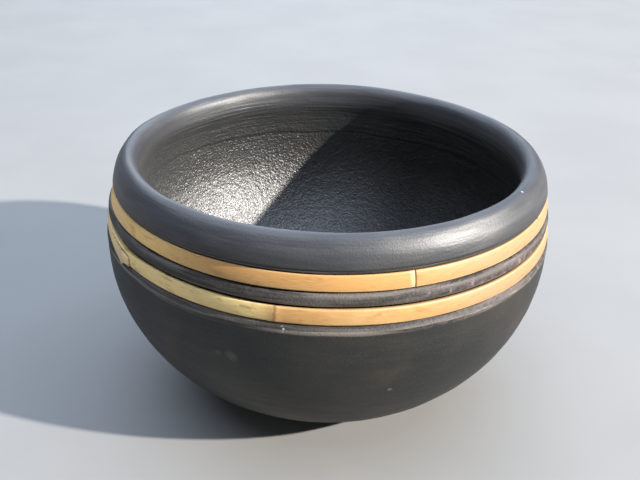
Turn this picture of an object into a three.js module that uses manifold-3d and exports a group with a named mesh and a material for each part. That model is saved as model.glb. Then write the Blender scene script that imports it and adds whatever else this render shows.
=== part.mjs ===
// A black clay bowl with a rolled rim and two strips of split cane inlaid in grooves around it.
// Millimetres, +Z up. The origin is the middle of the foot's underside, and Z is the bowl's axis.
import * as THREE from "three";
import { mergeVertices } from "three/addons/utils/BufferGeometryUtils.js";
import Module from "manifold-3d";

const wasm = await Module();
wasm.setup();

// The outside of the clay: a belly circle, a fuller curve below it and a half ellipse above it.
const BELLY_RADIUS = 66.2;
const BELLY_HEIGHT = 49.6;
const LOWER_CURVE_DEPTH = 55.3;
const LOWER_CURVE_POWER = 2.07;
const UPPER_CURVE_RISE = 67.2;
const FOOT_BLEND_INWARD = 2.4;
const FOOT_BLEND_UPWARD = 1.5;

// The rolled rim: an upright ellipse that the outer curve runs into.
const RIM_CENTRE_HEIGHT = 72.4;
const RIM_HALF_THICKNESS = 3.25;
const RIM_HALF_HEIGHT = 4.2;
const RIM_INNER_END = THREE.MathUtils.degToRad(215);

// The inside of the clay.
const INNER_RADIUS = 60;
const INNER_FLOOR_HEIGHT = 7;
const INNER_CURVE_POWER = 2.1;
const INNER_CURVE_RISE = 62;

// The two grooves, the bead between them and the bevelled shoulder below the lower one.
const LOWER_BAND_HEIGHT = 57.2;
const UPPER_BAND_HEIGHT = 66.05;
const GROOVE_WIDTH = 4.9;
const GROOVE_DEPTH = 1.75;
const BEAD_STANDS = 1.6;
const SHOULDER_WIDTH = 1.4;
const SHOULDER_DROP = 0.9;
const COLLAR_EDGE_ROUNDING = 0.7;

// The cane strips and the film of glue behind each.
const CANE_WIDTH = 4.2;
const CANE_THICKNESS = 1.1;
const CANE_CROWN = 0.25;
const GLUE_WIDTH = 3.4;
const GLUE_THICKNESS = 0.25;
const FIT_CLEARANCE = 0.15;

// Where the strips' ends meet, as a turn about Z from +X.
const BUTT_JOINT_AT = THREE.MathUtils.degToRad(-70.5);
const SCARF_JOINT_AT = THREE.MathUtils.degToRad(-151.5);
const JOINT_GAP = 0.3;
const SCARF_LENGTH = 17;
const CUTTER_DEPTH = 8;

// How finely the round surfaces are divided.
const TURN_SEGMENTS = 72;
const BODY_STEPS = 11;
const RIM_STEPS = 10;
const WALL_STEPS = 11;
const COLLAR_STEPS = 3;
const BEAD_STEPS = 6;
const EDGE_STEPS = 3;
const CROWN_STEPS = 4;

const QUARTER_TURN = Math.PI / 2;

const clay = new THREE.MeshStandardMaterial({ color: "#24262a", roughness: 0.42, metalness: 0 });
const cane = new THREE.MeshStandardMaterial({ color: "#c79a62", roughness: 0.55, metalness: 0 });
const glue = new THREE.MeshStandardMaterial({ color: "#b08a5c", roughness: 0.35, metalness: 0 });

// Evenly spaced values from one number to another, each turned into a point.
function sweep(from, to, steps, pointAt) {
  return Array.from({ length: steps + 1 }, (_, i) => pointAt(from + ((to - from) * i) / steps));
}

// The half-width left at a share of the way along a rounded curve of the given power.
function roundedShare(share, power) {
  return (1 - share ** power) ** (1 / power);
}

function outerRadiusAt(height) {
  if (height < BELLY_HEIGHT) {
    const share = (BELLY_HEIGHT - height) / LOWER_CURVE_DEPTH;
    return BELLY_RADIUS * roundedShare(share, LOWER_CURVE_POWER);
  }
  return BELLY_RADIUS * roundedShare((height - BELLY_HEIGHT) / UPPER_CURVE_RISE, 2);
}

function innerRadiusAt(height) {
  if (height < BELLY_HEIGHT) {
    const share = (BELLY_HEIGHT - height) / (BELLY_HEIGHT - INNER_FLOOR_HEIGHT);
    return INNER_RADIUS * roundedShare(share, INNER_CURVE_POWER);
  }
  return INNER_RADIUS * roundedShare((height - BELLY_HEIGHT) / INNER_CURVE_RISE, 2);
}

// A point of the upper outside, moved up along the surface and out from it.
function offSurface(height, up, out) {
  const radius = outerRadiusAt(height);
  const lean = Math.atan2(
    BELLY_RADIUS ** 2 * (height - BELLY_HEIGHT),
    UPPER_CURVE_RISE ** 2 * radius,
  );
  return new THREE.Vector2(
    radius - up * Math.sin(lean) + out * Math.cos(lean),
    height + up * Math.cos(lean) + out * Math.sin(lean),
  );
}

// Part of an ellipse about a centre in the plane of a profile.
function ellipseArc(centre, halfAcross, halfUp, from, to, steps) {
  return sweep(
    from,
    to,
    steps,
    (turn) =>
      new THREE.Vector2(
        centre.x + halfAcross * Math.cos(turn),
        centre.y + halfUp * Math.sin(turn),
      ),
  );
}

// The flat foot and the soft turn from it into the body.
function footProfile() {
  const corner = new THREE.Vector2(outerRadiusAt(0), 0);
  const turnIn = new THREE.QuadraticBezierCurve(
    new THREE.Vector2(corner.x - FOOT_BLEND_INWARD, 0),
    corner,
    new THREE.Vector2(outerRadiusAt(FOOT_BLEND_UPWARD), FOOT_BLEND_UPWARD),
  );
  return [new THREE.Vector2(0, 0), ...turnIn.getPoints(EDGE_STEPS)];
}

// The lower body, with closer steps near the foot, where it turns in fastest.
function bodyProfile(topHeight) {
  const lowest = Math.asin((BELLY_HEIGHT - FOOT_BLEND_UPWARD) / LOWER_CURVE_DEPTH);
  const highest = Math.asin((BELLY_HEIGHT - topHeight) / LOWER_CURVE_DEPTH);
  return sweep(lowest, highest, BODY_STEPS, (turn) => {
    const height = BELLY_HEIGHT - LOWER_CURVE_DEPTH * Math.sin(turn);
    return new THREE.Vector2(outerRadiusAt(height), height);
  }).slice(1);
}

// A rounded ridge from one groove floor to another.
function beadProfile(from, to) {
  const middle = from.clone().add(to).multiplyScalar(0.5);
  const halfBase = to.clone().sub(from).multiplyScalar(0.5);
  const outward = new THREE.Vector2(halfBase.y, -halfBase.x).setLength(BEAD_STANDS);
  return sweep(Math.PI, 0, BEAD_STEPS, (turn) =>
    middle
      .clone()
      .addScaledVector(halfBase, Math.cos(turn))
      .addScaledVector(outward, Math.sin(turn)),
  );
}

function bandedProfile() {
  const halfGroove = GROOVE_WIDTH / 2;
  const shoulder = sweep(0, QUARTER_TURN, EDGE_STEPS, (turn) =>
    offSurface(
      LOWER_BAND_HEIGHT,
      -halfGroove - SHOULDER_WIDTH * (1 - Math.sin(turn)),
      -SHOULDER_DROP * (1 - Math.cos(turn)),
    ),
  );
  const bead = beadProfile(
    offSurface(LOWER_BAND_HEIGHT, halfGroove, -GROOVE_DEPTH),
    offSurface(UPPER_BAND_HEIGHT, -halfGroove, -GROOVE_DEPTH),
  );
  const collarEdge = sweep(Math.PI, QUARTER_TURN, EDGE_STEPS, (turn) =>
    offSurface(
      UPPER_BAND_HEIGHT,
      halfGroove + COLLAR_EDGE_ROUNDING * (1 + Math.cos(turn)),
      COLLAR_EDGE_ROUNDING * (Math.sin(turn) - 1),
    ),
  );
  return [
    ...shoulder,
    offSurface(LOWER_BAND_HEIGHT, -halfGroove, -GROOVE_DEPTH),
    ...bead,
    offSurface(UPPER_BAND_HEIGHT, halfGroove, -GROOVE_DEPTH),
    ...collarEdge,
  ];
}

function collarProfile(fromHeight) {
  return sweep(
    fromHeight,
    RIM_CENTRE_HEIGHT,
    COLLAR_STEPS,
    (height) => new THREE.Vector2(outerRadiusAt(height), height),
  ).slice(1, -1);
}

function rimProfile() {
  const centre = new THREE.Vector2(
    outerRadiusAt(RIM_CENTRE_HEIGHT) - RIM_HALF_THICKNESS,
    RIM_CENTRE_HEIGHT,
  );
  return ellipseArc(centre, RIM_HALF_THICKNESS, RIM_HALF_HEIGHT, 0, RIM_INNER_END, RIM_STEPS);
}

function wallProfile(topHeight) {
  const depth = BELLY_HEIGHT - INNER_FLOOR_HEIGHT;
  const highest = Math.asin((BELLY_HEIGHT - topHeight) / depth);
  return sweep(highest, QUARTER_TURN, WALL_STEPS, (turn) => {
    const height = BELLY_HEIGHT - depth * Math.sin(turn);
    return new THREE.Vector2(innerRadiusAt(height), height);
  }).slice(1);
}

// A profile in radius and height, turned about Z.
function turned(profile) {
  const geometry = new THREE.LatheGeometry(profile, TURN_SEGMENTS);
  geometry.rotateX(QUARTER_TURN);
  return geometry;
}

function bowlGeometry() {
  const banded = bandedProfile();
  const rim = rimProfile();
  return turned([
    ...footProfile(),
    ...bodyProfile(banded[0].y),
    ...banded.slice(1),
    ...collarProfile(banded.at(-1).y),
    ...rim,
    ...wallProfile(rim.at(-1).y),
  ]);
}

// A flat strip bent round the bowl at a height, with its back a given depth in the groove.
function stripGeometry(height, width, thickness, backDepth, crown) {
  const half = width / 2;
  const face = sweep(-half, half, CROWN_STEPS, (up) =>
    offSurface(height, up, thickness - backDepth - crown * (up / half) ** 2),
  );
  const back = [offSurface(height, half, -backDepth), offSurface(height, -half, -backDepth)];
  return turned([...face, ...back, face[0]]);
}

function solidOf(geometry) {
  const bare = geometry.clone();
  bare.deleteAttribute("normal");
  bare.deleteAttribute("uv");
  const merged = mergeVertices(bare);
  const vertProperties = merged.getAttribute("position").array;
  const triVerts = new Uint32Array(merged.getIndex().array);
  return new wasm.Manifold(new wasm.Mesh({ numProp: 3, vertProperties, triVerts }));
}

function geometryOf(solid) {
  const { vertProperties, triVerts } = solid.getMesh();
  const geometry = new THREE.BufferGeometry();
  geometry.setAttribute("position", new THREE.BufferAttribute(vertProperties, 3));
  geometry.setIndex(new THREE.BufferAttribute(triVerts, 1));
  geometry.computeVertexNormals();
  return geometry;
}

// Cuts a strip through at one place: straight across, or slanting over the given length.
function cutThrough(strip, height, at, slantLength) {
  const slant = Math.atan2(slantLength, CANE_WIDTH);
  const length = 2 * Math.hypot(slantLength, CANE_WIDTH);
  const cutter = new THREE.BoxGeometry(CUTTER_DEPTH, JOINT_GAP, length);
  cutter.rotateX(slant);
  cutter.translate(outerRadiusAt(height), 0, height);
  cutter.rotateZ(at);
  return geometryOf(solidOf(strip).subtract(solidOf(cutter)));
}

function caneStrip(height, jointAt, slantLength) {
  const backDepth = GROOVE_DEPTH - GLUE_THICKNESS - 2 * FIT_CLEARANCE;
  const whole = stripGeometry(height, CANE_WIDTH, CANE_THICKNESS, backDepth, CANE_CROWN);
  return cutThrough(whole, height, jointAt, slantLength);
}

function glueFilm(height) {
  return stripGeometry(height, GLUE_WIDTH, GLUE_THICKNESS, GROOVE_DEPTH - FIT_CLEARANCE, 0);
}

const bowl = new THREE.Group();

function add(name, geometry, material) {
  const mesh = new THREE.Mesh(geometry, material);
  mesh.name = name;
  bowl.add(mesh);
}

add("bowl_body", bowlGeometry(), clay);
add("upper_cane_band", caneStrip(UPPER_BAND_HEIGHT, BUTT_JOINT_AT, 0), cane);
add("lower_cane_band", caneStrip(LOWER_BAND_HEIGHT, SCARF_JOINT_AT, SCARF_LENGTH), cane);
add("upper_glue_bed", glueFilm(UPPER_BAND_HEIGHT), glue);
add("lower_glue_bed", glueFilm(LOWER_BAND_HEIGHT), glue);

export default bowl;
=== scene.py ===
"""The looks of a black clay bowl with two inlaid strips of split cane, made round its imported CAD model.

The shapes below are worked out in millimetres and degrees, and become metres when a mesh is made.
Angles turn about the bowl's axis from +X, so the front of the bowl, towards -Y, is at -90 degrees.
"""
import math

import bpy
import numpy as np
from mathutils import Matrix, Vector, noise


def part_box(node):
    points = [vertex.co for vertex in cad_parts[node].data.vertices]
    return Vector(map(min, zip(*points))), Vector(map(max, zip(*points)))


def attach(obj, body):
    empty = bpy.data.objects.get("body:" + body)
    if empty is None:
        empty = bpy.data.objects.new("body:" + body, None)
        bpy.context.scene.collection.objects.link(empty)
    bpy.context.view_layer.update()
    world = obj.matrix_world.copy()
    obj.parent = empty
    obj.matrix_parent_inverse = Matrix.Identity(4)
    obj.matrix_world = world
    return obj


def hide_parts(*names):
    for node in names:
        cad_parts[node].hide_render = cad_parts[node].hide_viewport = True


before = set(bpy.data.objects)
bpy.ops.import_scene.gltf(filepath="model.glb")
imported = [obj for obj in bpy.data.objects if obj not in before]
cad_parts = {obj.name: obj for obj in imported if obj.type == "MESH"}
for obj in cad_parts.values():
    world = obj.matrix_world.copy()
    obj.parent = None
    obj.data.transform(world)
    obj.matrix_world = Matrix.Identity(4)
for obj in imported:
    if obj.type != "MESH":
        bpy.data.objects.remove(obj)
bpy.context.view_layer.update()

MM = 0.001


def box_mm(node):
    """The lowest and highest corner of a CAD node, in millimetres."""
    low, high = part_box(node)
    return low / MM, high / MM


# ---------------------------------------------------------------- sizes, from the frame
BOWL_HIGH = box_mm("bowl_body")[1]
BELLY_RADIUS = BOWL_HIGH.x
BOWL_HEIGHT = BOWL_HIGH.z
UPPER_BAND = sum(corner.z for corner in box_mm("upper_cane_band")) / 2
LOWER_BAND = sum(corner.z for corner in box_mm("lower_cane_band")) / 2

# the curves of the clay, the same as the CAD body's
BELLY_HEIGHT = 49.6
LOWER_CURVE_DEPTH = 55.3
LOWER_CURVE_POWER = 2.07
UPPER_CURVE_RISE = 67.2
RIM_HALF_THICKNESS = 3.25
RIM_HALF_HEIGHT = 4.2
RIM_CENTRE = BOWL_HEIGHT - RIM_HALF_HEIGHT
INNER_RADIUS = 60.0
INNER_FLOOR = 7.0
INNER_CURVE_POWER = 2.1
INNER_CURVE_RISE = 62.0
FOOT_RADIUS = 28.0
FOOT_HOLLOW = 0.35

# grooves, bead and shoulder
GROOVE_HALF_WIDTH = 2.45
GROOVE_DEPTH = 1.75
BEAD_STANDS = 1.62
SHOULDER_WIDTH = 1.5
SHOULDER_DROP = 1.0

# cane
CANE_WIDTH = 4.2
CANE_THICKNESS = 1.1
CANE_CROWN = 0.22
CANE_FACE_OUT = -0.12
BUTT_JOINT_ANGLE = -70.5
NICK_ANGLE = -27
NODE_SCAR_ANGLE = -101


# ---------------------------------------------------------------- numbers
def noise_at(points, size, seed, octaves=1):
    """Smooth noise from about -1 to 1 at each point, with features of the given size."""
    total = np.zeros(len(points))
    weight, weights = 1.0, 0.0
    for octave in range(octaves):
        shift = Vector((17.3 * seed, 5.1 * octave, 9.7 * seed + 3.3 * octave))
        scaled = points * (2.0 ** octave / size)
        values = np.fromiter((noise.noise(Vector(p) + shift) for p in scaled), float, len(points))
        total += weight * values
        weights += weight
        weight *= 0.5
    return total / weights


def smooth_step(values, start, end):
    share = np.clip((values - start) / (end - start), 0.0, 1.0)
    return share * share * (3 - 2 * share)


def hump(values, centre, half_width):
    """1 at the centre, falling smoothly to 0 at half_width to either side."""
    return 1 - smooth_step(np.abs(values - centre), 0.0, half_width)


def degrees_from(angle, turn):
    """How far each turn in radians is from an angle in degrees, from -180 to 180."""
    return np.degrees(np.angle(np.exp(1j * (turn - math.radians(angle)))))


# ---------------------------------------------------------------- the bowl's profile
def outer_radius(height):
    if height < BELLY_HEIGHT:
        share = (BELLY_HEIGHT - height) / LOWER_CURVE_DEPTH
        return BELLY_RADIUS * (1 - share ** LOWER_CURVE_POWER) ** (1 / LOWER_CURVE_POWER)
    return BELLY_RADIUS * math.sqrt(1 - ((height - BELLY_HEIGHT) / UPPER_CURVE_RISE) ** 2)


def inner_radius(height):
    if height < BELLY_HEIGHT:
        share = min(1.0, (BELLY_HEIGHT - height) / (BELLY_HEIGHT - INNER_FLOOR))
        return INNER_RADIUS * (1 - share ** INNER_CURVE_POWER) ** (1 / INNER_CURVE_POWER)
    return INNER_RADIUS * math.sqrt(1 - ((height - BELLY_HEIGHT) / INNER_CURVE_RISE) ** 2)


def surface_frame(height):
    """A point of the upper outside, the direction up along it and the direction out of it."""
    radius = outer_radius(height)
    lean = math.atan2(BELLY_RADIUS ** 2 * (height - BELLY_HEIGHT), UPPER_CURVE_RISE ** 2 * radius)
    up = np.array([-math.sin(lean), math.cos(lean)])
    out = np.array([math.cos(lean), math.sin(lean)])
    return np.array([radius, height]), up, out


def off_surface(height, up, out):
    point, up_way, out_way = surface_frame(height)
    return point + up * up_way + out * out_way


def curve(point_at, start, end, step):
    """Points of a curve, from its start value to its end value, about a step apart."""
    rough = np.array([point_at(value) for value in np.linspace(start, end, 60)])
    length = np.linalg.norm(np.diff(rough, axis=0), axis=1).sum()
    count = max(2, round(length / step))
    return [point_at(value) for value in np.linspace(start, end, count + 1)]


def foot_points():
    def underside(radius):
        hollow = FOOT_HOLLOW * (1 - (radius / FOOT_RADIUS) ** 2) * (1 - math.exp(radius - FOOT_RADIUS))
        return np.array([radius, max(hollow, 0.0)])

    def turn_in(share):
        corner = np.array([outer_radius(0.0), 0.0])
        start = np.array([FOOT_RADIUS, 0.0])
        end = np.array([outer_radius(1.5), 1.5])
        return (1 - share) ** 2 * start + 2 * share * (1 - share) * corner + share ** 2 * end

    return curve(underside, 0.6, FOOT_RADIUS, 2.0) + curve(turn_in, 0, 1, 0.9)[1:]


def body_points(top):
    lowest = math.asin((BELLY_HEIGHT - 1.5) / LOWER_CURVE_DEPTH)
    highest = math.asin((BELLY_HEIGHT - top) / LOWER_CURVE_DEPTH)

    def side(turn):
        height = BELLY_HEIGHT - LOWER_CURVE_DEPTH * math.sin(turn)
        return np.array([outer_radius(height), height])

    return curve(side, lowest, highest, 1.5)[1:]


def banded_points():
    half = GROOVE_HALF_WIDTH

    def shoulder(turn):
        up = -half - SHOULDER_WIDTH * (1 - math.sin(turn) ** 1.4)
        return off_surface(LOWER_BAND, up, -SHOULDER_DROP * (1 - math.cos(turn) ** 1.4))

    floor_end = off_surface(LOWER_BAND, half, -GROOVE_DEPTH)
    next_floor = off_surface(UPPER_BAND, -half, -GROOVE_DEPTH)
    half_base = (next_floor - floor_end) / 2
    outward = np.array([half_base[1], -half_base[0]])
    outward *= BEAD_STANDS / np.linalg.norm(outward)

    def bead(turn):
        middle = (floor_end + next_floor) / 2
        across = -math.copysign(abs(math.cos(turn)) ** 0.8, math.cos(turn))
        return middle + half_base * across + outward * math.sin(turn) ** 0.8

    def collar_edge(turn):
        up = half + 0.6 * (1 + math.cos(turn))
        return off_surface(UPPER_BAND, up, 0.6 * (math.sin(turn) - 1))

    lower_floor = [off_surface(LOWER_BAND, up, -GROOVE_DEPTH) for up in np.linspace(-half, half, 5)]
    upper_floor = [off_surface(UPPER_BAND, up, -GROOVE_DEPTH) for up in np.linspace(-half, half, 5)]
    return [
        ("shoulder", curve(shoulder, 0.0, math.pi / 2, 0.22)),
        ("groove", lower_floor),
        ("bead", curve(bead, 0.0, math.pi, 0.3)[1:]),
        ("groove", upper_floor[1:]),
        ("collar", curve(collar_edge, math.pi, math.pi / 2, 0.25)),
    ]


# the rim's outline, as steps outward and upward from its middle: a flat burnished bevel faces out and up
RIM_MIDDLE = outer_radius(RIM_CENTRE) - RIM_HALF_THICKNESS
RIM_OUTLINE = (
    (4.62, -3.3), (4.22, -1.6), (3.62, 0.2), (2.72, 1.75), (1.72, 3.1), (0.55, 3.98), (-0.8, 4.1),
    (-2.1, 3.3), (-2.95, 1.9), (-3.22, 0.2), (-3.25, -1.2), (-3.1, -2.6), (-2.75, -4.2),
)


def collar_points(bottom):
    top = RIM_CENTRE + RIM_OUTLINE[0][1]
    return curve(lambda z: np.array([outer_radius(z), z]), bottom, top, 0.8)[1:-1]


def rim_points():
    """The rim's outline as a smooth curve through its steps."""
    knots = np.array(RIM_OUTLINE) + (RIM_MIDDLE, RIM_CENTRE)
    knots = np.vstack([2 * knots[0] - knots[1], knots, 2 * knots[-1] - knots[-2]])

    def roll(place):
        step = min(int(place), len(RIM_OUTLINE) - 2)
        share = place - step
        a, b, c, d = knots[step:step + 4]
        bend = (2 * a - 5 * b + 4 * c - d) * share ** 2 + (3 * b - a - 3 * c + d) * share ** 3
        return (2 * b + (c - a) * share + bend) / 2

    return curve(roll, 0.0, len(RIM_OUTLINE) - 1.0, 0.5)


# the wall is thicker than the CAD's just below the rim, so that the rim's inner side runs smoothly into it
WALL_THICKER = 1.02


def wall_points(top):
    depth = BELLY_HEIGHT - INNER_FLOOR

    def wall(turn):
        height = BELLY_HEIGHT - depth * math.sin(turn)
        return np.array([inner_radius(height) - WALL_THICKER * smooth_step(height, 44, 63), height])

    points = curve(wall, math.asin((BELLY_HEIGHT - top) / depth), math.pi / 2, 1.6)[1:]
    return [point for point in points if point[0] > 1.0]


def bowl_profile():
    """The whole outline from the middle of the foot to the middle of the inside, and each point's zone."""
    banded = banded_points()
    rim = rim_points()
    sections = [("foot", foot_points()), ("body", body_points(banded[0][1][0][1])[:-1])]
    sections += banded
    sections += [("collar", collar_points(banded[-1][1][-1][1])), ("rim", rim)]
    sections += [("inside", wall_points(rim[-1][1]))]
    points = np.array([point for _, part in sections for point in part])
    zones = np.array([zone for zone, part in sections for _ in part])
    return points, zones


# ---------------------------------------------------------------- the hand's unevenness
# at every eighth of a turn from +X: how far the clay swells past a true circle, and how far it rises
SWELL_EIGHTHS = (1.25, 0.2, -0.4, 0.05, 0.6, 0.0, -0.05, 0.8)
RISE_EIGHTHS = (0.05, -0.45, -0.1, -0.75, -0.35, -0.15, 0.05, 0.2)
# the collar and rim stand back a little at the left
LEFT_INSET = 0.5
LEFT_INSET_ANGLE, LEFT_INSET_REACH = 188.0, 30


def around(eighths, turn):
    """A smooth closed curve through eight values, one at every eighth of a turn from +X."""
    waves = np.fft.rfft(eighths) / len(eighths)
    total = waves[0].real + waves[4].real * np.cos(4 * turn)
    for k in (1, 2, 3):
        total = total + 2 * (waves[k].real * np.cos(k * turn) - waves[k].imag * np.sin(k * turn))
    return total


def uneven(turn, height, outside):
    """How far the hand-built clay strays outward and upward, for points that are outside it or inside it."""
    share = np.clip(height / BOWL_HEIGHT, 0, 1)
    swell = share ** 1.5 * around(SWELL_EIGHTHS, turn)
    inset = hump(degrees_from(LEFT_INSET_ANGLE, turn), 0, LEFT_INSET_REACH) * smooth_step(height, 62.4, 65.5)
    rise = share ** 3 * around(RISE_EIGHTHS, turn)
    return swell - LEFT_INSET * inset * outside, rise


# ---------------------------------------------------------------- meshes
def make_mesh(name, vertices, faces, material, attributes):
    """A smooth-shaded piece from millimetre vertices, with a float attribute for each named mask."""
    mesh = bpy.data.meshes.new(name)
    mesh.from_pydata((vertices * MM).tolist(), [], faces)
    for key, values in attributes.items():
        layer = mesh.attributes.new(key, "FLOAT", "POINT")
        layer.data.foreach_set("value", np.asarray(values, np.float32))
    mesh.materials.append(material)
    mesh.shade_smooth()
    mesh.update()
    piece = bpy.data.objects.new(name, mesh)
    bpy.context.scene.collection.objects.link(piece)
    return piece


def grid_faces(rows, columns):
    """Quads of a grid of rows by columns, numbered row by row, with the last column joined to the first."""
    return [
        (row * columns + column, row * columns + (column + 1) % columns,
         (row + 1) * columns + (column + 1) % columns, (row + 1) * columns + column)
        for row in range(rows - 1)
        for column in range(columns)
    ]


def profile_normals(points):
    tangent = np.gradient(points, axis=0)
    tangent /= np.linalg.norm(tangent, axis=1)[:, None]
    return np.stack([tangent[:, 1], -tangent[:, 0]], axis=1)


AROUND = 432

# where the clay differs round the bowl, as angles and how far they reach
SMEAR_ANGLE, SMEAR_REACH = -48, 30
RUBBED_ANGLE = math.radians(150)
BROWN_OUTSIDE_ANGLE, BROWN_OUTSIDE_REACH = 180, 55
BROWN_INSIDE_ANGLE, BROWN_INSIDE_REACH = 25, 50


def clay_relief(place, way, zone, high_inside):
    """How far the clay stands out: burnishing strokes and fullness outside, a coarser hand inside."""
    stroke = np.stack([place[:, 0] / 5, place[:, 1] / 5, way], axis=1)
    smooth, within = zone("body", "collar", "rim"), zone("inside")
    out = 0.09 * smooth * noise_at(stroke, 3.4, 1, 2)
    out += 0.14 * (smooth + within) * noise_at(place, 16.0, 2, 2)
    out += 0.05 * zone("shoulder", "bead") * noise_at(place, 2.5, 5, 2)
    out += 0.10 * within * noise_at(place, 2.6, 3, 2)
    return out + (0.05 + 0.10 * high_inside) * within * noise_at(stroke / (3.0, 3.0, 1.0), 1.5, 4)


def clay_masks(place, turn, zone, facing_out):
    """Where the clay's looks change, as numbers from 0 to 1 at each point."""
    height = place[:, 2]
    inside = (1 - facing_out) * smooth_step(-height, -75, -69)

    # the inside was rubbed to a gloss on one side, and the rim and collar all round
    toward_rubbed = place[:, 0] * math.cos(RUBBED_ANGLE) + place[:, 1] * math.sin(RUBBED_ANGLE)
    rubbed_inside = inside * (0.12 + 0.88 * smooth_step(toward_rubbed, -5, 32))
    rim_gloss = 0.14 + 0.14 * smooth_step(height, 65, 74)
    outside_gloss = np.where(zone("rim", "collar") > 0, rim_gloss, 0.06 * zone("body"))

    # glue was smeared beside the grooves at the front right
    smear = hump(degrees_from(SMEAR_ANGLE, turn), 0, SMEAR_REACH) ** 0.5 + 0.12

    # the smoke was thin on the rim's left outside and its right inside
    brown = hump(degrees_from(BROWN_OUTSIDE_ANGLE, turn), 0, BROWN_OUTSIDE_REACH) * facing_out
    brown += hump(degrees_from(BROWN_INSIDE_ANGLE, turn), 0, BROWN_INSIDE_REACH) * (1 - facing_out)
    return {
        "inside": inside,
        "high_inside": smooth_step(height, 50, 64) * (1 - facing_out),
        "pitted": inside * (1 - 0.75 * smooth_step(height, 52, 70)),
        "burnish": np.maximum(outside_gloss, rubbed_inside),
        "groove": zone("groove"),
        "shoulder": zone("shoulder"),
        "bead": zone("bead"),
        "smear": zone("bead", "shoulder") * smear,
        "brown": brown * smooth_step(height, 62, 70),
        # the rim's top, which takes a painted blue-grey reflection
        "rim": zone("rim") * smooth_step(height, 66, 73),
        # the body and foot, which are darkened as painted shade
        "body": zone("body", "foot"),
    }


def make_bowl(material):
    points, zones = bowl_profile()
    normals = profile_normals(points)
    along = np.concatenate([[0], np.cumsum(np.linalg.norm(np.diff(points, axis=0), axis=1))])
    rows = len(points)

    def zone(*names):
        return np.isin(zones, names).astype(float).repeat(AROUND)

    radius, height, way = (values.repeat(AROUND) for values in (points[:, 0], points[:, 1], along))
    turn = np.tile(np.radians(np.arange(AROUND) * 360 / AROUND), rows)
    rim_facing = smooth_step(radius, RIM_MIDDLE - 3, RIM_MIDDLE + 3)
    facing_out = np.where(zone("rim") > 0, rim_facing, 1 - zone("inside"))
    place = np.stack([radius * np.cos(turn), radius * np.sin(turn), height], axis=1)
    masks = clay_masks(place, turn, zone, facing_out)

    out = clay_relief(place, way, zone, masks["high_inside"])
    moved = points.repeat(AROUND, axis=0) + normals.repeat(AROUND, axis=0) * out[:, None]
    swell, rise = uneven(turn, height, facing_out)
    ring_radius = moved[:, 0] + swell
    ring_height = np.maximum(moved[:, 1] + rise, 0.0)
    vertices = np.stack([ring_radius * np.cos(turn), ring_radius * np.sin(turn), ring_height], axis=1)

    # a point in the middle closes the foot, and another the inside
    faces = grid_faces(rows, AROUND)
    under, over = len(vertices), len(vertices) + 1
    vertices = np.vstack([vertices, [0, 0, FOOT_HOLLOW], [0, 0, INNER_FLOOR]])
    last = (rows - 1) * AROUND
    for column in range(AROUND):
        beside = (column + 1) % AROUND
        faces.append((under, beside, column))
        faces.append((over, last + column, last + beside))

    # wear follows the edges that stick out
    bend = np.gradient(np.unwrap(np.arctan2(normals[:, 1], normals[:, 0])), along)
    worn_share = np.isin(zones, ["shoulder", "bead"]) + 0.3 * (zones == "collar")
    masks["edge"] = (np.clip(bend / 1.2, 0, 1) * worn_share).repeat(AROUND)
    masks["along"] = way
    with_middles = {name: np.append(values, [0.0, values[last:].mean()]) for name, values in masks.items()}
    return make_mesh("clay_bowl", vertices, faces, material, with_middles)


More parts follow.
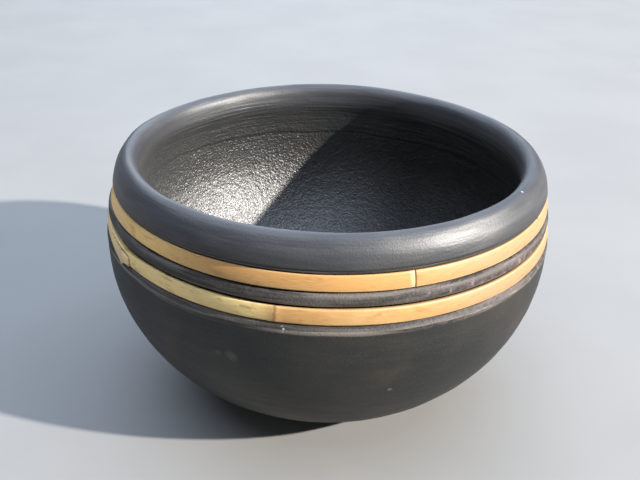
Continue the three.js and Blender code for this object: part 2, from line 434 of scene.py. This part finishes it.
# ---------------------------------------------------------------- node materials
class Shade:
    """A node material being built. Each method adds a node and returns its output socket."""

    def __init__(self, name):
        self.material = bpy.data.materials.new(name)
        self.material.use_nodes = True
        self.tree = self.material.node_tree
        self.shader = self.tree.nodes["Principled BSDF"]

    def join(self, value, socket):
        if isinstance(value, bpy.types.NodeSocket):
            self.tree.links.new(value, socket)
        else:
            socket.default_value = value

    def place(self):
        """The surface point, in millimetres."""
        coordinates = self.tree.nodes.new("ShaderNodeTexCoord")
        return self.vectors("MULTIPLY", coordinates.outputs["Object"], (1 / MM,) * 3)

    def mask(self, name):
        node = self.tree.nodes.new("ShaderNodeAttribute")
        node.attribute_name = name
        return node.outputs["Fac"]

    def combine(self, x, y, z):
        node = self.tree.nodes.new("ShaderNodeCombineXYZ")
        for socket, value in zip(node.inputs, (x, y, z)):
            self.join(value, socket)
        return node.outputs[0]

    def split(self, vector):
        node = self.tree.nodes.new("ShaderNodeSeparateXYZ")
        self.join(vector, node.inputs[0])
        return node.outputs

    def noise(self, vector, size, detail=2.0, roughness=0.5, distortion=0.0):
        """Noise from 0 to 1 whose features are about size across."""
        node = self.tree.nodes.new("ShaderNodeTexNoise")
        self.join(vector, node.inputs["Vector"])
        node.inputs["Scale"].default_value = 1 / size
        node.inputs["Detail"].default_value = detail
        node.inputs["Roughness"].default_value = roughness
        node.inputs["Distortion"].default_value = distortion
        return node.outputs["Fac"]

    def spot(self, place, ragged, centre, radius):
        """1 in a ragged mark about a point in millimetres, fading to 0 at its edge."""
        away = self.vectors("DISTANCE", place, centre, "Value")
        away = self.sums("ADD", away, self.sums("MULTIPLY", ragged, radius * 1.6))
        return self.between(away, radius * 1.1, radius * 1.9, 1.0, 0.0)

    def vectors(self, operation, first, second, result="Vector"):
        node = self.tree.nodes.new("ShaderNodeVectorMath")
        node.operation = operation
        self.join(first, node.inputs[0])
        self.join(second, node.inputs[1])
        return node.outputs[result]

    def sums(self, operation, first, second=0.0):
        node = self.tree.nodes.new("ShaderNodeMath")
        node.operation = operation
        for socket, value in zip(node.inputs, (first, second)):
            self.join(value, socket)
        return node.outputs[0]

    def plus(self, first, second):
        return self.sums("ADD", first, second)

    def times(self, first, second):
        return self.sums("MULTIPLY", first, second)

    def between(self, value, low, high, to_low=0.0, to_high=1.0):
        """The value's place between low and high, as a number from to_low to to_high."""
        node = self.tree.nodes.new("ShaderNodeMapRange")
        node.interpolation_type = "SMOOTHSTEP"
        for socket, number in zip(node.inputs, (value, low, high, to_low, to_high)):
            self.join(number, socket)
        return node.outputs[0]

    def mix(self, share, first, second):
        node = self.tree.nodes.new("ShaderNodeMix")
        node.data_type = "RGBA"
        self.join(share, node.inputs[0])
        self.join(first, node.inputs[6])
        self.join(second, node.inputs[7])
        return node.outputs[2]

    def blend(self, share, first, second):
        """A number between two numbers."""
        node = self.tree.nodes.new("ShaderNodeMix")
        for socket, number in zip(node.inputs, (share, None, first, second)):
            if number is not None:
                self.join(number, socket)
        return node.outputs[0]

    def bump(self, height, depth, below=None):
        """A bump whose height runs from 0 to 1 over the given depth in millimetres."""
        node = self.tree.nodes.new("ShaderNodeBump")
        node.inputs["Strength"].default_value = 1.0
        node.inputs["Distance"].default_value = depth * MM
        self.join(height, node.inputs["Height"])
        if below is not None:
            self.join(below, node.inputs["Normal"])
        return node.outputs[0]

    def set(self, **values):
        for name, value in values.items():
            self.join(value, self.shader.inputs[name.replace("_", " ")])
        return self.material


def colour(red, green, blue):
    return (red, green, blue, 1.0)


# small pale marks: the middle of each on the bowl, its radius and how strongly it shows
MARKS = (
    ((-50.6, 30.3, 63.4), 0.55, 1.0),
    ((51.2, -31.6, 76.4), 0.5, 0.9),
    ((17.2, -61.2, 33.2), 0.8, 0.14),
    ((-23.6, -61.1, 42.3), 1.9, 0.07),
    ((-27.2, -59.9, 42.2), 1.1, 0.05),
    ((6.0, 57.5, 65.3), 0.45, 0.5),
    ((7.4, 57.3, 64.4), 0.35, 0.5),
    ((-10.6, -65.0, 54.2), 0.45, 0.5),
    ((-10.2, -65.1, 53.5), 0.45, 0.5),
    ((-10.4, -65.3, 52.8), 0.35, 0.35),
)
MARK_COLOUR = colour(0.55, 0.52, 0.48)


# inside, the smoother clay below the rim ends in a low wavy step about this high
STEP_HEIGHT = 58.7


def clay_ledges(shade, place):
    """The shoulder and bead as one mask, and how dusty they are in patches."""
    ledge = shade.plus(shade.times(shade.mask("shoulder"), 0.55), shade.times(shade.mask("bead"), 0.85))
    patches = shade.noise(place, 3.2, 4.0, 0.62)
    return ledge, shade.times(ledge, shade.between(patches, 0.35, 0.65, 0.15, 0.65))


def clay_colour(shade, place, strokes, grain, dusty):
    inside, groove, smear = shade.mask("inside"), shade.mask("groove"), shade.mask("smear")

    # near-black charcoal with soft clouds, brown where the smoke was thin, and darker inside as painted
    # shade in the hollow
    clouds = shade.between(shade.noise(place, 20.0, 3.0), 0.35, 0.65)
    base = shade.mix(clouds, colour(0.010, 0.011, 0.011), colour(0.022, 0.021, 0.018))
    brown = shade.plus(shade.noise(place, 30.0, 3.0, 0.5, 0.6), shade.times(shade.mask("brown"), 0.2))
    base = shade.mix(shade.between(brown, 0.58, 0.80, 0.0, 0.6), base, colour(0.070, 0.043, 0.028))
    base = shade.mix(shade.between(grain, 0.52, 0.74, 0.0, 0.5), base, colour(0.060, 0.056, 0.048))
    # painted shade: the inside of the hollow is darkened towards blue-black
    base = shade.mix(shade.times(inside, 0.5), base, colour(0.002, 0.003, 0.004))

    # painted reflection: a blue-grey on the rim's top stands in for the sky's sheen
    base = shade.mix(shade.times(shade.mask("rim"), 0.7), base, colour(0.038, 0.040, 0.048))
    # painted shade: a deeper black low down
    base = shade.mix(shade.times(shade.mask("body"), 0.4), base, colour(0.004, 0.005, 0.004))

    # pale dust, wear on the edges, dried glue smeared beside the grooves and lying in them
    base = shade.mix(dusty, base, colour(0.058, 0.047, 0.041))
    worn = shade.times(shade.mask("edge"), shade.between(shade.noise(strokes, 1.1, 4.0), 0.42, 0.62))
    base = shade.mix(shade.times(worn, 0.7), base, colour(0.24, 0.215, 0.19))
    residue = shade.times(smear, shade.between(shade.noise(place, 1.3, 3.0), 0.45, 0.62, 0.0, 0.7))
    base = shade.mix(residue, base, colour(0.090, 0.066, 0.072))
    smears = shade.times(smear, shade.between(shade.noise(place, 2.4, 1.0), 0.60, 0.78, 0.0, 0.8))
    base = shade.mix(smears, base, colour(0.22, 0.155, 0.15))
    base = shade.mix(shade.times(groove, 0.9), base, colour(0.014, 0.008, 0.006))

    ragged = shade.noise(place, 0.9, 2.0)
    for centre, radius, share in MARKS:
        spot = shade.spot(place, ragged, centre, radius)
        base = shade.mix(shade.times(spot, share), base, MARK_COLOUR)
    return base


def inner_relief(shade, place, strokes):
    """Small pits, which fade above a wavy step, and scraped lines below the rim."""
    pits = shade.noise(place, 0.8, 2.0, 0.6, 0.5)
    pits = shade.plus(pits, shade.times(shade.noise(place, 2.1, 1.0), 0.6))
    height = shade.split(place)[2]
    waved = shade.plus(height, shade.times(shade.noise(place, 14.0, 1.0), 2.4))
    step = shade.between(waved, STEP_HEIGHT + 0.8, STEP_HEIGHT + 1.6)
    rough_clay = shade.times(shade.mask("pitted"), shade.between(step, 0.0, 1.0, 1.0, 0.85))
    lines = shade.times(shade.noise(strokes, 1.0, 2.0), shade.times(shade.mask("high_inside"), 0.6))
    lines = shade.plus(lines, shade.times(step, 0.5))
    return shade.plus(shade.times(pits, rough_clay), shade.times(lines, shade.mask("inside")))


def clay_material():
    shade = Shade("burnished_black_clay")
    place, inside = shade.place(), shade.mask("inside")
    x, y = shade.split(place)[:2]
    strokes = shade.combine(shade.times(x, 0.06), shade.times(y, 0.06), shade.mask("along"))
    grain = shade.noise(place, 0.6, 3.0, 0.65)
    stroke = shade.noise(strokes, 1.2, 3.0, 0.6)
    passes = shade.noise(shade.vectors("MULTIPLY", strokes, (2.6, 2.6, 1.0)), 2.6, 2.0)
    ledge, dusty = clay_ledges(shade, place)
    base = clay_colour(shade, place, strokes, grain, dusty)

    # gloss: stroke by stroke outside, even inside, dull where dusty
    stroke_gloss = shade.between(stroke, 0.3, 0.7, 0.50, 0.60)
    pass_gloss = shade.between(passes, 0.35, 0.65, 0.47, 0.62)
    gloss = shade.blend(inside, shade.blend(0.5, stroke_gloss, pass_gloss), 0.5)
    gloss = shade.blend(dusty, gloss, 0.8)

    # relief: burnishing passes, faint strokes and grain outside, pits and lines inside
    outside = shade.sums("SUBTRACT", 1.0, inside)
    coarse = shade.plus(shade.times(ledge, 1.2), 0.6)
    fine = shade.plus(shade.times(stroke, 0.6), shade.times(grain, coarse))
    relief = shade.bump(shade.times(fine, outside), 0.12)
    relief = shade.bump(shade.times(passes, outside), 0.16, relief)
    relief = shade.bump(inner_relief(shade, place, strokes), 0.46, relief)

    # the burnish lies over the clay as a coat, uneven from pass to pass outside
    pass_burnish = shade.between(passes, 0.38, 0.62, 0.45, 1.45)
    stroke_burnish = shade.between(stroke, 0.35, 0.65, 0.6, 1.4)
    uneven_burnish = shade.blend(inside, shade.blend(0.5, pass_burnish, stroke_burnish), 1.0)
    burnish = shade.times(shade.mask("burnish"), uneven_burnish)
    return shade.set(
        Base_Color=base, Roughness=gloss, Normal=relief, IOR=1.4,
        Coat_Weight=burnish, Coat_IOR=2.1, Coat_Roughness=0.48, Coat_Normal=relief,
    )


def cane_material(name, tint, left_painted_light_dark, left_painted_light_bright):
    shade = Shade(name)
    length, across = shade.mask("lengthwise"), shade.mask("across")

    def grown(squeeze, shift, size, detail=3.0, roughness=0.5):
        """Noise drawn out along the strip."""
        drawn_out = shade.combine(shade.times(length, squeeze), across, shift)
        return shade.noise(drawn_out, size, detail, roughness)

    # fibres whose colour takes over from one to the next along the strip: the strip's own, a darker one
    # painted as shade on the lamp-lit right side, and a lighter one painted as light on the shaded left side
    fine = grown(0.04, 0.0, 0.16, roughness=0.6)
    broad = grown(0.3, 3.0, 5.0)
    fibre = shade.between(fine, 0.3, 0.7)
    base = shade.mix(fibre, colour(0.42, 0.215, 0.065), colour(0.51, 0.295, 0.110))
    base = shade.mix(shade.between(broad, 0.35, 0.7, 0.0, 0.6), base, tint)
    # painted shade: the darker colour masked "pale", laid where the lamp falls strongest
    pale = shade.mix(fibre, colour(0.33, 0.183, 0.083), colour(0.385, 0.222, 0.110))
    base = shade.mix(shade.times(shade.mask("pale"), shade.between(broad, 0.2, 0.6, 0.7, 1.0)), base, pale)
    # painted light: a lighter, yellower colour on the strip's shaded left side
    left_painted_light = shade.mix(fibre, left_painted_light_dark, left_painted_light_bright)
    base = shade.mix(shade.times(shade.mask("left_painted_light"), shade.between(broad, 0.2, 0.6, 0.6, 1.0)), base, left_painted_light)

    # blotches, flecks, lighter edges, a dark scar at a joint and bare wood where the skin is cut
    blotch = grown(0.35, 11.0, 2.2, roughness=0.6)
    base = shade.mix(shade.between(blotch, 0.54, 0.74, 0.0, 0.6), base, colour(0.27, 0.125, 0.035))
    flecks = grown(0.5, 7.0, 0.7, 2.0)
    base = shade.mix(shade.between(flecks, 0.70, 0.78, 0.0, 0.6), base, colour(0.18, 0.08, 0.03))
    edge = shade.between(shade.sums("ABSOLUTE", across), CANE_WIDTH * 0.36, CANE_WIDTH * 0.46)
    base = shade.mix(shade.times(edge, 0.35), base, colour(0.60, 0.42, 0.22))
    broken = shade.between(grown(1.0, 5.0, 1.1, 2.0), 0.40, 0.58, 0.15, 0.8)
    base = shade.mix(shade.times(shade.mask("scar"), broken), base, colour(0.17, 0.075, 0.03))
    base = shade.mix(shade.times(shade.mask("bare"), 0.6), base, colour(0.56, 0.40, 0.24))
    rough = shade.between(broad, 0.3, 0.7, 0.42, 0.55)
    return shade.set(Base_Color=base, Roughness=rough, Normal=shade.bump(fine, 0.04))


def glue_material():
    shade = Shade("dried_glue")
    place = shade.place()
    clots = shade.noise(place, 2.0, 4.0)
    base = shade.mix(shade.between(clots, 0.4, 0.65), colour(0.035, 0.015, 0.010), colour(0.13, 0.08, 0.065))
    return shade.set(
        Base_Color=base,
        Roughness=shade.between(clots, 0.3, 0.7, 0.35, 0.6),
        Normal=shade.bump(shade.noise(place, 0.5, 3.0), 0.1),
    )


# ---------------------------------------------------------------- strips
# a strip's cross-section, across it and outward, as shares of half its width and half its thickness
SECTION = [
    (-1.0, -0.88), (-0.97, -1.0), (0.97, -1.0), (1.0, -0.88), (1.0, 0.45), (0.985, 0.72), (0.94, 0.9),
    (0.86, 0.975), (0.72, 1.0), (0.5, 1.0), (0.25, 1.0), (0.0, 1.0), (-0.25, 1.0), (-0.5, 1.0), (-0.72, 1.0),
    (-0.86, 0.975), (-0.94, 0.9), (-0.985, 0.72), (-1.0, 0.45),
]


# the degrees, turning from +X past the front, over which each strip takes a lighter colour, painted light on
# its shaded left side, and then back again
UPPER_PAINTED_LIGHT = 112, 138
LOWER_PAINTED_LIGHT = 99, 108
PAINTED_LIGHT_ENDS = 155, 180


def make_strip(
    name, band, angles, edges, face_out, section_size, material, left_painted_light, scar=0.0, bare=0.0, seam=0.0
):
    """A closed strip bent round the bowl. Its lower and upper edge and its face are given at each angle,
    and so are its marks: a scar across it, bare wood, and a dark seam along its upper edge."""
    (low, high), (thickness, crown) = edges, section_size
    section = np.array(SECTION)
    across_unit, out_unit = section[:, 0], section[:, 1]
    point, up_way, out_way = surface_frame(band)
    count, ring = len(angles), len(SECTION)
    middle, half = (low + high) / 2, (high - low) / 2
    up = middle[:, None] + half[:, None] * across_unit
    domed = crown * (1 - across_unit ** 2) * (out_unit > 0)
    out = face_out[:, None] - crown - thickness / 2 + (thickness / 2) * out_unit + domed
    radius = (point[0] + up * up_way[0] + out * out_way[0]).ravel()
    height = (point[1] + up * up_way[1] + out * out_way[1]).ravel()
    turn = np.radians(np.repeat(angles, ring))
    swell, rise = uneven(turn, height, 1.0)
    radius, height = radius + swell, height + rise
    vertices = np.stack([radius * np.cos(turn), radius * np.sin(turn), height], axis=1)
    faces = grid_faces(count, ring)
    faces.append(tuple(reversed(range(ring))))
    faces.append(tuple(range((count - 1) * ring, count * ring)))
    wrapped = (angles + 180) % 360 - 180
    # painted shade: the strip's lamp-lit right side is masked "pale" for a darker colour
    pale = smooth_step(wrapped, -80, -45) * (1 - smooth_step(wrapped, 40, 90))
    # painted light: the strip's shaded left side is masked for a lighter colour
    left_painted_light_share = smooth_step(-wrapped, *left_painted_light) * (1 - smooth_step(-wrapped, *PAINTED_LIGHT_ENDS))

    def at_rings(values):
        return np.broadcast_to(values, count).repeat(ring)

    masks = {
        "lengthwise": turn * point[0],
        "across": up.ravel(),
        "scar": np.maximum(at_rings(scar), at_rings(seam) * np.tile(across_unit > 0.9, count)),
        "pale": at_rings(pale),
        "left_painted_light": at_rings(left_painted_light_share),
        "bare": at_rings(bare),
    }
    return make_mesh(name, vertices, faces, material, masks)


def waver(angles, size, seed, amount):
    """A gentle wander along a strip, in millimetres."""
    turned = np.radians(angles)
    ring = np.stack([60 * np.cos(turned), 60 * np.sin(turned), np.zeros(len(angles))], axis=1)
    return amount * noise_at(ring, size, seed, 2)


def make_upper_cane(material):
    gap = 0.006
    end = BUTT_JOINT_ANGLE + 360
    angles = np.linspace(BUTT_JOINT_ANGLE + gap, end - gap, 1000)
    half = CANE_WIDTH / 2
    low = -half + waver(angles, 22, 11, 0.12)
    high = half + waver(angles, 25, 12, 0.10) - 0.5 * hump(angles, NICK_ANGLE, 0.7)
    face = CANE_FACE_OUT + waver(angles, 30, 13, 0.12) - 0.12 * smooth_step(angles, end - 1.5, end)
    scar = 0.3 * (1 - smooth_step(angles, BUTT_JOINT_ANGLE, BUTT_JOINT_ANGLE + 0.5))
    bare = smooth_step(angles, end - 1.4, end - 0.8)
    section = CANE_THICKNESS, CANE_CROWN
    return make_strip(
        "upper_cane", UPPER_BAND, angles, (low, high), face, section, material, UPPER_PAINTED_LIGHT, scar, bare
    )


# the lower strip's lapped ends: angles against shares of the strip's width, from its lower edge.
# one end tapers from below to its top edge, and the ragged lower edge of the other lies over it
TAPER_LOW = (
    [-159.5, -156, -152, -148, -145, -143.9, -143.5, -143.2],
    [0.96, 0.86, 0.79, 0.71, 0.64, 0.57, 0.3, 0.0],
)
TAPER_TOP = ([-159.5, -153, -148, -143, -139, -134], [1.0, 0.95, 0.84, 0.84, 0.92, 1.0])
RAGGED_LOW = (
    [-160, -154, -150, -148.6, -147.5, -146.8, -145.5, -144.4, -143.4],
    [0.0, -0.05, -0.13, -0.22, -0.34, -0.12, -0.07, -0.01, 0.02],
)
LAP_GAP = 0.08


def make_lower_cane(material):
    start, end = TAPER_LOW[0][0], RAGGED_LOW[0][-1] + 360
    angles = np.concatenate([
        np.linspace(start, -142, 90, endpoint=False),
        np.linspace(-142, 198, 850, endpoint=False),
        np.linspace(198, end, 110),
    ])
    low_share = np.interp(angles, *TAPER_LOW)
    late = angles - 360
    low_share = np.where(late > -162, np.interp(late, *RAGGED_LOW), low_share)
    whole = np.interp(angles, *TAPER_TOP)
    high_share = np.where(late > start, np.interp(late, *TAPER_LOW) - LAP_GAP, whole)
    narrowing = smooth_step(late, start - 3, start) * (1 - TAPER_LOW[1][0] + LAP_GAP)
    high_share = np.where((late > start - 3) & (late <= start), 1 - narrowing, high_share)
    high_share = np.maximum(high_share, low_share + 0.03)
    wander = waver(angles, 24, 21, 0.12) - CANE_WIDTH / 2
    edges = low_share * CANE_WIDTH + wander, high_share * CANE_WIDTH + wander

    # the lapping end has sprung out a little, and the node is a low swelling with a scar
    spring = 0.55 * smooth_step(late, -160, -147)
    node = 0.12 * hump(angles, NODE_SCAR_ANGLE, 2.0)
    face = CANE_FACE_OUT + waver(angles, 30, 23, 0.10) + spring + node
    scar = hump(angles, NODE_SCAR_ANGLE, 0.7)
    bare = 0.75 * smooth_step(late, -156, -149)
    seam = smooth_step(late, -161, -158)
    section = CANE_THICKNESS, CANE_CROWN
    return make_strip(
        "lower_cane", LOWER_BAND, angles, edges, face, section, material, LOWER_PAINTED_LIGHT, scar, bare, seam
    )


def make_glue(name, band, seed, material):
    angles = np.linspace(0, 359.5, 720)
    half = CANE_WIDTH / 2
    lumps = np.clip(waver(angles, 5, seed, 1.0), 0, 1)
    low = -half - 0.15 - 0.5 * lumps
    high = np.full(len(angles), half - 0.2)
    face = np.full(len(angles), -GROOVE_DEPTH + 0.35) + 0.3 * lumps
    return make_strip(name, band, angles, (low, high), face, (0.3, 0.0), material, UPPER_PAINTED_LIGHT)


# ---------------------------------------------------------------- build
clay = clay_material()
# each cane material: a tint, then the dark and light ends of the colour painted as light on its shaded left
# side
golden = cane_material(
    "split_cane_golden", colour(0.52, 0.27, 0.085), colour(0.66, 0.41, 0.13), colour(0.82, 0.55, 0.20)
)
pale = cane_material(
    "split_cane_pale", colour(0.56, 0.37, 0.175), colour(0.68, 0.49, 0.185), colour(0.84, 0.64, 0.28)
)
glue = glue_material()

pieces = {
    "bowl_body": (make_bowl(clay), "black_clay"),
    "upper_cane_band": (make_upper_cane(golden), "split_cane"),
    "lower_cane_band": (make_lower_cane(pale), "split_cane"),
    "upper_glue_bed": (make_glue("upper_glue", UPPER_BAND, 31, glue), "dried_glue"),
    "lower_glue_bed": (make_glue("lower_glue", LOWER_BAND, 32, glue), "dried_glue"),
}
for node, (piece, slot) in pieces.items():
    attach(piece, "root")
    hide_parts(node)


# ---------------------------------------------------------------- floor, light and camera
# name, azimuth and elevation in degrees, distance and size in metres, watts, colour
LIGHTS = (
    ("key", -21.0, 28.5, 3.0, 0.085, 280.0, (1.0, 0.95, 0.88)),
    ("back", 93.0, 18.0, 1.9, 1.3, 8.0, (0.74, 0.84, 1.0)),
    ("overhead", 93.0, 74.0, 1.5, 3.6, 80.0, (0.66, 0.79, 1.0)),
)
WORLD_COLOUR = colour(0.86, 0.90, 0.96)
WORLD_STRENGTH = 0.22

# the camera's place in metres, its angles in degrees, its lens and sensor in millimetres
CAMERA_PLACE = (-0.0019, -0.2376, 0.1691)
CAMERA_PITCH, CAMERA_ROLL = 27.79, 1.571
LENS, SENSOR_WIDTH = 47.81, 36.0


def make_floor():
    mesh = bpy.data.meshes.new("floor")
    reach = 3.0
    corners = [(-reach, -reach, 0), (reach, -reach, 0), (reach, reach, 0), (-reach, reach, 0)]
    mesh.from_pydata(corners, [], [(0, 1, 2, 3)])
    shade = Shade("pale_floor")
    soft = shade.noise(shade.place(), 60.0, 3.0)
    base = shade.mix(shade.between(soft, 0.3, 0.7), colour(0.225, 0.222, 0.216), colour(0.24, 0.237, 0.23))
    mesh.materials.append(shade.set(Base_Color=base, Roughness=0.7))
    floor = bpy.data.objects.new("floor", mesh)
    bpy.context.scene.collection.objects.link(floor)


def soft_light(name, azimuth, elevation, distance, size, watts, tint):
    """A round soft box aimed at the bowl from a direction in degrees."""
    aim = Vector((0.0, 0.0, BOWL_HEIGHT * MM / 2))
    turn, climb = math.radians(azimuth), math.radians(elevation)
    way = Vector((math.cos(turn) * math.cos(climb), math.sin(turn) * math.cos(climb), math.sin(climb)))
    light = bpy.data.lights.new(name, "AREA")
    light.shape = "DISK"
    light.size = size
    light.energy = watts
    light.color = tint
    lamp = bpy.data.objects.new(name, light)
    lamp.location = aim + way * distance
    lamp.rotation_euler = (-way).to_track_quat("-Z", "Y").to_euler()
    bpy.context.scene.collection.objects.link(lamp)


def make_camera():
    data = bpy.data.cameras.new("camera")
    data.sensor_width = SENSOR_WIDTH
    data.lens = LENS
    data.clip_start = 0.01
    camera = bpy.data.objects.new("camera", data)
    pitch, roll = math.radians(CAMERA_PITCH), math.radians(CAMERA_ROLL)
    tilt = Matrix.Rotation(math.pi / 2 - pitch, 4, "X") @ Matrix.Rotation(roll, 4, "Z")
    camera.matrix_world = Matrix.Translation(CAMERA_PLACE) @ tilt
    bpy.context.scene.collection.objects.link(camera)
    bpy.context.scene.camera = camera


def make_world():
    world = bpy.data.worlds.new("studio")
    world.use_nodes = True
    background = world.node_tree.nodes["Background"]
    background.inputs["Color"].default_value = WORLD_COLOUR
    background.inputs["Strength"].default_value = WORLD_STRENGTH
    bpy.context.scene.world = world


make_floor()
for light in LIGHTS:
    soft_light(*light)
make_world()
make_camera()
bpy.context.scene.view_settings.view_transform = "Standard"
